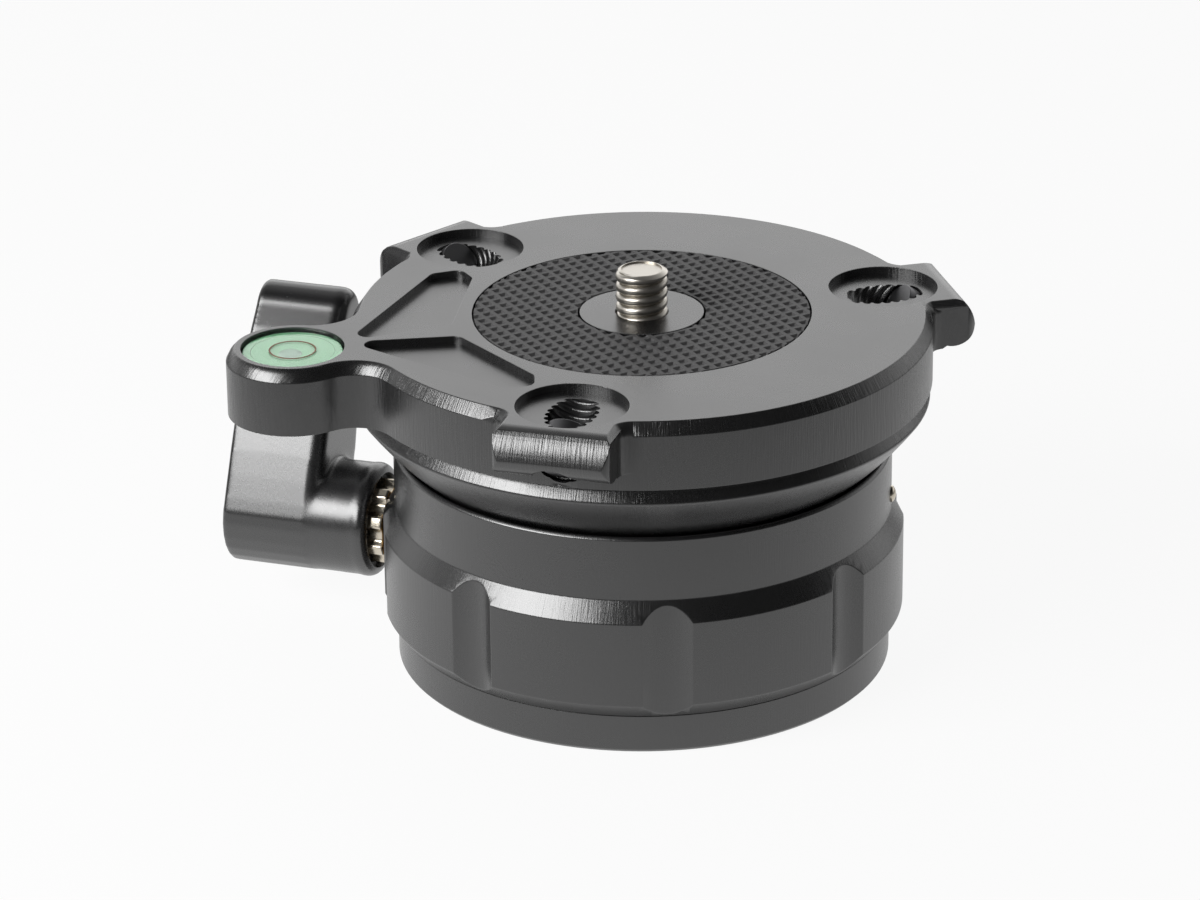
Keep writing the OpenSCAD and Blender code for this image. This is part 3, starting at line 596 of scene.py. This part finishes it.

# %% [markdown]
# ## The lever's spring
# A coil spring inside the lever holds the arm on its star. Who pulls the arm out can turn it on by a
# tooth, and the spring is pressed together meanwhile. Here the coil is only wound, to the length of the
# CAD spring.

# %% Lever spring
WIRE_R, COIL_R, COILS, ARM_PULL = 0.5, 3.8, 5, 4.0
spring_low, spring_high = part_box("lever_spring")
spring_long = (spring_high[0] - spring_low[0]) / MM
bpy.ops.object.select_all(action="DESELECT")
bpy.ops.mesh.primitive_circle_add(vertices=12, radius=WIRE_R * MM, location=(COIL_R * MM, 0, 0),
                                  rotation=(math.pi / 2, 0, 0))
spring = settle(named("lever_coil"))
applied(spring, "SCREW", axis="Z", angle=math.tau, screw_offset=(spring_long - 2 * WIRE_R) / COILS * MM,
        iterations=COILS, steps=32, render_steps=32)
close_ends(spring)
settle(spring, to_lever @ Matrix.Translation((0, 0, WIRE_R * MM - spring_high[0])))
shaded(spring)
placed(spring, "handle", "stainless", "lever_spring")
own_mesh(spring)

# %% [markdown]
# ## The level
# The level is a cup of green liquid under a clear lens, with a fine brown ring printed on the lens and a
# bubble under it. All are turned. The milky liquid reaches up to just below the lens, and the copy of the
# cup is cut down to the same height, so that the lens lies over both and catches the light.

# %% Level
LOBE_AZIMUTH, LOBE_REACH = 212, 42
BUBBLE_SHIFT = (0.42 * MM, 0.68 * MM, 0)
to_lobe = (Matrix.Rotation(math.radians(LOBE_AZIMUTH), 4, "Z")
           @ Matrix.Translation((LOBE_REACH * MM, 0, 0)))
liquid = turned("green_liquid", [(0, 37.62), (4.88, 37.62), (4.88, 42.78), (0, 42.76)], 64)
lens = turned("clear_lens", [(0, 42.84), (5.8, 42.84), (5.8, 42.98), (5.6, 43.08), (0, 43.12)], 64)
mark = turned("ring_mark", [(2.6, 43.06), (2.78, 43.06), (2.78, 43.14), (2.6, 43.14), (2.6, 43.06)], 64)
dome = [(0, 42.7), (1.38, 42.7), (1.36, 42.8), (1.1, 42.92), (0.6, 42.98), (0, 43.0)]
bubble = settle(turned("bubble", dome, 40), Matrix.Translation(BUBBLE_SHIFT))
for piece in (liquid, lens, mark, bubble):
    settle(piece, to_lobe)
    shaded(piece, 40)
placed(liquid, "top", "vial_liquid", "vial_fluid")
placed(lens, "top", "vial_glass", "vial_lens")
placed(mark, "top", "vial_plastic")
placed(bubble, "top", "vial_liquid")
cup = broken_edges("vial_cup", "level_cup", 0.1)
lid = turned("lid", [(0, 42.8), (7, 42.8), (7, 44), (0, 44)], 64)
cut(cup, settle(lid, to_lobe))
shaded(cup)
placed(cup, "top", "vial_plastic", "vial_cup")

# %% [markdown]
# ## Small steel pieces
# The star on the lever screw, the set screws, the screws of the base and the pin in the wall keep their
# CAD shape and get broken edges. The star's teeth are rounder than the rest, as on a rolled part.

# %% Small pieces
for node, name, body, slot, width in (
        ("lever_screw", "star_screw", "lever", "nickel", 0.3),
        ("lever_cap_screw", "cap_screw", "lever", "dark_steel", 0.1),
        ("set_screws", "lug_set_screws", "top", "dark_steel", 0.1),
        ("base_screws", "foot_screws", "base", "dark_steel", 0.08),
        ("thread_bush", "tripod_bush", "base", "stainless", 0.1),
        ("wall_pin", "domed_pin", "base", "nickel", 0.05)):
    placed(shaded(broken_edges(node, name, width, segments=3)), body, slot, node)

# %% [markdown]
# ## Nodes in one line
# World, floor and finishes are built from nodes. These helpers add a node, join its inputs and give its
# output back, so that a formula reads like a formula.

# %% Helpers for nodes
def maths(tree, kind, *values):
    """A Math node whose inputs are sockets or plain numbers."""
    node = tree.nodes.new("ShaderNodeMath")
    node.operation = kind
    for k, value in enumerate(values):
        if isinstance(value, (int, float)):
            node.inputs[k].default_value = value
        else:
            tree.links.new(value, node.inputs[k])
    return node.outputs[0]


def fade(tree, value, near, far, at_near, at_far):
    """Goes smoothly from at_near to at_far while the value goes from near to far."""
    node = tree.nodes.new("ShaderNodeMapRange")
    node.interpolation_type = "SMOOTHSTEP"
    tree.links.new(value, node.inputs["Value"])
    for label, number in (("From Min", near), ("From Max", far), ("To Min", at_near), ("To Max", at_far)):
        node.inputs[label].default_value = number
    return node.outputs["Result"]


def split_coords(tree, kind):
    """X, Y and Z of these texture coordinates."""
    coords = tree.nodes.new("ShaderNodeTexCoord")
    split = tree.nodes.new("ShaderNodeSeparateXYZ")
    tree.links.new(coords.outputs[kind], split.inputs["Vector"])
    return split.outputs


def from_axis(tree, x, y):
    """Distance from the Z axis."""
    squares = maths(tree, "ADD", maths(tree, "MULTIPLY", x, x), maths(tree, "MULTIPLY", y, y))
    return maths(tree, "SQRT", squares)


LOOK_X, LOOK_Y = -0.31, 0.95


def along_view(tree, x, y, sign):
    """How far a point lies behind the head in the picture, or in front of it with sign -1."""
    return maths(tree, "MULTIPLY_ADD", y, sign * LOOK_Y, maths(tree, "MULTIPLY", x, sign * LOOK_X))


def clear_view(tree, paths):
    """1 for what is seen directly or through the level's lens, else 0."""
    return maths(tree, "MAXIMUM", paths.outputs["Is Camera Ray"], paths.outputs["Is Transmission Ray"])


# %% [markdown]
# ## Light
# The picture was taken in a white surround: black metal shows hardly anything but what it reflects. The
# world is bright near the horizon behind the head, dim overhead and dark in front. A broad panel glows
# behind the head for the plate's top, and one soft box at the front left gives the lights on the edges.

# %% World and lamps
world = bpy.data.worlds.new("studio")
bpy.context.scene.world = world
world.use_nodes = True
tree = world.node_tree
tree.nodes.clear()
x, y, z = split_coords(tree, "Generated")
from_behind = fade(tree, along_view(tree, x, y, 1), -0.1, 0.5, 0.06, 0.95)
near_horizon = fade(tree, z, 0.15, 0.6, 1.0, 0.35)
white = maths(tree, "MULTIPLY", from_behind, near_horizon)
seen = tree.nodes.new("ShaderNodeMix")
seen.data_type = "RGBA"
seen.inputs["B"].default_value = (1, 1, 1, 1)
sky = tree.nodes.new("ShaderNodeBackground")
out = tree.nodes.new("ShaderNodeOutputWorld")
tree.links.new(white, seen.inputs["A"])
tree.links.new(clear_view(tree, tree.nodes.new("ShaderNodeLightPath")), seen.inputs["Factor"])
tree.links.new(seen.outputs["Result"], sky.inputs["Color"])
tree.links.new(sky.outputs["Background"], out.inputs["Surface"])
LAMPS_AIM = Vector((0, 0, 0.025))


def soft_box(name, direction, distance, size, radiance):
    """An area lamp of this width, height and brightness that looks at the middle of the head."""
    data = bpy.data.lights.new(name, "AREA")
    data.shape = "RECTANGLE"
    data.size, data.size_y = size
    data.energy = radiance * math.pi * size[0] * size[1]
    lamp = bpy.data.objects.new(name, data)
    bpy.context.scene.collection.objects.link(lamp)
    away = Vector(direction).normalized()
    lamp.location = away * distance + LAMPS_AIM
    lamp.rotation_euler = away.to_track_quat("Z", "Y").to_euler()
    lamp.visible_camera = False
    return lamp


soft_box("front_left_box", (-0.508, -0.7, 0.502), distance=0.6, size=(0.46, 0.285), radiance=8.4)
soft_box("back_panel", (-0.3, 0.95, 0.46), distance=1.5, size=(1.9, 1.2), radiance=0.74)

# %% [markdown]
# ## The floor
# The floor is plain and pale. Part of its colour is given straight to the camera and to reflections,
# so that the background is white while the soft shadow under the head stays. In reflections the floor
# glows with a painted pool of light: brightest close to the head, it fades outwards and to the front,
# and painted shade darkens it to the right.

# %% Floor
FLOOR_SIZE, SEEN_SHARE, GLOSSY_SHARE = 8, 0.92, 0.9
bpy.ops.object.select_all(action="DESELECT")
bpy.ops.mesh.primitive_plane_add(size=FLOOR_SIZE)
floor = named("floor")
bpy.ops.object.mode_set(mode="EDIT")
bpy.ops.mesh.subdivide(number_cuts=3)
bpy.ops.object.mode_set(mode="OBJECT")
paint = bpy.data.materials.new("pale_floor")
paint.use_nodes = True
tree = paint.node_tree
tree.nodes.clear()
matt = tree.nodes.new("ShaderNodeBsdfDiffuse")
matt.inputs["Color"].default_value = (0.9, 0.9, 0.9, 1)
x, y, z = split_coords(tree, "Object")
# Painted light: the glow seen in reflections is a painted pool that fades outwards and forwards, with painted
# shade towards the right.
outwards = fade(tree, from_axis(tree, x, y), 0.08, 0.3, 1.0, 0.12)
forwards = fade(tree, along_view(tree, x, y, -1), -0.04, 0.14, 1.0, 0.72)
painted_shade_right = fade(tree, x, -0.1, 0.1, 1.0, 0.8)
painted_light_pool = maths(tree, "MULTIPLY", maths(tree, "MULTIPLY", outwards, forwards), painted_shade_right)
paths = tree.nodes.new("ShaderNodeLightPath")
direct = clear_view(tree, paths)
glow = tree.nodes.new("ShaderNodeEmission")
tree.links.new(maths(tree, "MAXIMUM", direct, painted_light_pool), glow.inputs["Strength"])
share = maths(tree, "MAXIMUM", maths(tree, "MULTIPLY", direct, SEEN_SHARE),
              maths(tree, "MULTIPLY", paths.outputs["Is Glossy Ray"], GLOSSY_SHARE))
mixed = tree.nodes.new("ShaderNodeMixShader")
out = tree.nodes.new("ShaderNodeOutputMaterial")
tree.links.new(share, mixed.inputs["Fac"])
tree.links.new(matt.outputs[0], mixed.inputs[1])
tree.links.new(glow.outputs[0], mixed.inputs[2])
tree.links.new(mixed.outputs[0], out.inputs["Surface"])
floor.data.materials.append(paint)
floor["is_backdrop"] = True
print("floor of", FLOOR_SIZE, "m with", len(floor.data.polygons), "faces")

# %% [markdown]
# ## Effects shared by the finishes
# A few things happen on more than one material: a fine grain, marks of the milling cutter that run
# across the edges, lines of the lathe tool, and smudges of handling. Each is a node group with named
# sockets, built once and placed in a material with that material's own values.

# %% Node groups
def effect(name, label, value, output):
    """An empty node group with one number input and one number output."""
    tree = bpy.data.node_groups.new(name, "ShaderNodeTree")
    tree.interface.new_socket(label, in_out="INPUT", socket_type="NodeSocketFloat").default_value = value
    tree.interface.new_socket(output, in_out="OUTPUT", socket_type="NodeSocketFloat")
    return tree, tree.nodes.new("NodeGroupInput"), tree.nodes.new("NodeGroupOutput")


def noise(tree, vector, scale, detail=2.0):
    """A Noise Texture read at this vector."""
    node = tree.nodes.new("ShaderNodeTexNoise")
    node.inputs["Detail"].default_value = detail
    tree.links.new(vector, node.inputs["Vector"])
    if isinstance(scale, (int, float)):
        node.inputs["Scale"].default_value = scale
    else:
        tree.links.new(scale, node.inputs["Scale"])
    return node.outputs["Fac"]


def round_coords(tree):
    """Angle round Z, radius and height of the point, from Object coordinates."""
    x, y, z = split_coords(tree, "Object")
    return maths(tree, "ARCTAN2", y, x), from_axis(tree, x, y), z


def joined(tree, *values):
    """A vector from three numbers."""
    node = tree.nodes.new("ShaderNodeCombineXYZ")
    for k, value in enumerate(values):
        tree.links.new(value, node.inputs[k])
    return node.outputs[0]


grain_tree, start, end = effect("fine_grain", "Scale", 9000.0, "Grain")
where = grain_tree.nodes.new("ShaderNodeTexCoord").outputs["Object"]
grain_tree.links.new(noise(grain_tree, where, start.outputs["Scale"], 3.0), end.inputs["Grain"])

smudge_tree, start, end = effect("handling_smudges", "Scale", 90.0, "Smudge")
where = smudge_tree.nodes.new("ShaderNodeTexCoord").outputs["Object"]
smudge_tree.links.new(noise(smudge_tree, where, start.outputs["Scale"], 5.0), end.inputs["Smudge"])

lathe_tree, start, end = effect("lathe_lines", "Scale", 7000.0, "Lines")
angle, radius, height = round_coords(lathe_tree)
slow = maths(lathe_tree, "MULTIPLY", angle, 1.2)
fast_r = maths(lathe_tree, "MULTIPLY", radius, start.outputs["Scale"])
fast_z = maths(lathe_tree, "MULTIPLY", height, start.outputs["Scale"])
lathe_tree.links.new(noise(lathe_tree, joined(lathe_tree, slow, fast_r, fast_z), 1.0), end.inputs["Lines"])

# %% [markdown]
# ## Marks of the cutter
# A milling cutter leaves short streaks across chamfers and walls, but hardly any on the flat top. The
# streaks are a noise that changes fast round the axis and slowly along it, and the surface's own
# direction masks them out where it faces straight up.

# %% Cutter marks
ALONG_STREAK = 300.0
cutter_tree, start, end = effect("cutter_marks", "Count", 200.0, "Marks")
angle, radius, height = round_coords(cutter_tree)
fast = maths(cutter_tree, "MULTIPLY", angle, start.outputs["Count"])
slow_r = maths(cutter_tree, "MULTIPLY", radius, ALONG_STREAK)
slow_z = maths(cutter_tree, "MULTIPLY", height, ALONG_STREAK)
streaks = noise(cutter_tree, joined(cutter_tree, fast, slow_r, slow_z), 1.0, 3.0)
facing = cutter_tree.nodes.new("ShaderNodeNewGeometry")
split = cutter_tree.nodes.new("ShaderNodeSeparateXYZ")
cutter_tree.links.new(facing.outputs["Normal"], split.inputs["Vector"])
off_the_top = cutter_tree.nodes.new("ShaderNodeMapRange")
off_the_top.inputs["From Min"].default_value = 0.97
off_the_top.inputs["From Max"].default_value = 0.85
cutter_tree.links.new(split.outputs["Z"], off_the_top.inputs["Value"])
masked = maths(cutter_tree, "MULTIPLY", streaks, off_the_top.outputs["Result"])
cutter_tree.links.new(masked, end.inputs["Marks"])
print("effects:", [g.name for g in bpy.data.node_groups])

# %% [markdown]
# ## The finishes
# Every finish is one Principled shader. Its colour and its roughness vary a little by the smudges and the
# grain, and a Bump node adds the marks that the tool left. What is the same all over is set on the
# shader itself.

# %% Finish builder
def finish(name, colour, rough, metallic=0.0, ior=1.5, tint=1.25, grain=9000.0, depth=0.004, marks=(),
           spread=0.06, smudge=90.0, **plain):
    """A procedural finish: two shades of a colour, uneven roughness and a fine relief."""
    mat = bpy.data.materials.new(name)
    mat.use_nodes = True
    tree = mat.node_tree
    shader = tree.nodes["Principled BSDF"]
    shader.inputs["Metallic"].default_value = metallic
    shader.inputs["IOR"].default_value = ior
    for key, value in plain.items():
        shader.inputs[key.replace("_", " ")].default_value = value

    def placed_group(source, value):
        node = tree.nodes.new("ShaderNodeGroup")
        node.node_tree = source
        node.inputs[0].default_value = value
        return node.outputs[0]

    smudges, grains = placed_group(smudge_tree, smudge), placed_group(grain_tree, grain)
    shades = tree.nodes.new("ShaderNodeMix")
    shades.data_type = "RGBA"
    shades.inputs["A"].default_value = (*[c / tint for c in colour], 1)
    shades.inputs["B"].default_value = (*[min(1, c * tint) for c in colour], 1)
    tree.links.new(maths(tree, "MULTIPLY", maths(tree, "ADD", smudges, grains), 0.5), shades.inputs["Factor"])
    tree.links.new(shades.outputs["Result"], shader.inputs["Base Color"])
    uneven = maths(tree, "MULTIPLY_ADD", smudges, spread * 2, rough - spread * 1.5)
    uneven = maths(tree, "MULTIPLY_ADD", grains, spread, uneven)
    tree.links.new(uneven, shader.inputs["Roughness"])
    relief = maths(tree, "MULTIPLY", grains, depth)
    for source, value, deep in marks:
        relief = maths(tree, "MULTIPLY_ADD", placed_group(source, value), deep, relief)
    bump = tree.nodes.new("ShaderNodeBump")
    bump.inputs["Strength"].default_value = 1
    bump.inputs["Distance"].default_value = MM
    tree.links.new(relief, bump.inputs["Height"])
    tree.links.new(bump.outputs["Normal"], shader.inputs["Normal"])
    return mat


# %% [markdown]
# ## A finish for each piece
# The black parts share one colour and differ in their tool marks: milled plate, turned housing, turned and
# milled dish, smooth coated lever. Steel and bronze are metals. The level is mint green under clear
# acrylic. A piece that isn't named gets the finish of its slot.

# %% Finishes
BLACK = (0.008, 0.008, 0.0083)
milled_black = finish("milled_anodised", BLACK, 0.28, ior=2.0, marks=[(cutter_tree, 190.0, 0.05)])
turned_black = finish("turned_anodised", BLACK, 0.28, ior=2.0,
                      marks=[(lathe_tree, 6000.0, 0.004), (cutter_tree, 170.0, 0.02)])
dish_black = finish("dish_anodised", BLACK, 0.28, ior=2.0,
                    marks=[(lathe_tree, 6000.0, 0.003), (cutter_tree, 220.0, 0.035)])
gloss_black = finish("gloss_coating", (0.008, 0.008, 0.0085), 0.27, ior=2.0, grain=2500.0, depth=0.003,
                     spread=0.04, smudge=60.0)
rubber = finish("pitted_rubber", (0.072, 0.071, 0.072), 0.62, grain=6000.0, depth=0.01, spread=0.05)
stainless = finish("turned_stainless", (0.56, 0.53, 0.48), 0.34, 1.0, marks=[(lathe_tree, 9000.0, 0.003)])
nickel = finish("nickel_plate", (0.66, 0.6, 0.5), 0.24, 1.0, depth=0.003)
dark_steel = finish("blackened_steel", (0.17, 0.17, 0.175), 0.38, 1.0)
bronze = finish("turned_bronze", (0.5, 0.33, 0.14), 0.3, 1.0, marks=[(lathe_tree, 7000.0, 0.003)])
lining = finish("brake_lining", (0.16, 0.1, 0.055), 0.8, tint=1.6, grain=3000.0, depth=0.02)
MINT = (0.2, 0.46, 0.26)
mint_plastic = finish("mint_plastic", MINT, 0.45, ior=1.2, tint=1.05, depth=0.001)
mint_liquid = finish("mint_liquid", MINT, 0.45, ior=1.2, tint=1.06, depth=0.0005, smudge=300.0)
brown_print = finish("brown_print", (0.2, 0.075, 0.03), 0.5, tint=1.2)
bubble_air = finish("bubble_air", (0.36, 0.47, 0.4), 0.2, tint=1.1, depth=0.0)
clear_acrylic = finish("clear_acrylic", (0.95, 0.99, 0.96), 0.06, ior=1.3, tint=1.02, depth=0.0,
                       spread=0.02, Transmission_Weight=1.0)

FINISH_OF_PIECE = {
    "fluted_housing": turned_black, "base_disc": turned_black, "tilt_dish": dish_black,
    "lugged_plate": milled_black, "pitted_pad": rubber, "threaded_stud": stainless,
    "hand_lever": gloss_black, "lever_coil": stainless, "green_liquid": mint_liquid,
    "clear_lens": clear_acrylic, "ring_mark": brown_print, "bubble": bubble_air,
    "level_cup": mint_plastic, "star_screw": nickel, "domed_pin": nickel, "tripod_bush": stainless}
FINISH_OF_SLOT = {"dark_steel": dark_steel, "bronze": bronze, "brake_lining": lining}
slot_of = {part["node"]: part["material_slot"] for part in frame["record"]["subparts"]}
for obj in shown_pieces():
    mat = FINISH_OF_PIECE.get(obj.name) or FINISH_OF_SLOT[slot_of.get(obj.name, "dark_steel")]
    obj.data.materials.clear()
    obj.data.materials.append(mat)

# %% [markdown]
# ## Last look at the size
# The box round the dressed head is printed in millimetres. The dressed head may not be
# larger than the CAD model.

# %% Sizes and the end
low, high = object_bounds()
print("visual box in mm:", [round((b - a) / MM, 2) for a, b in zip(low, high)])
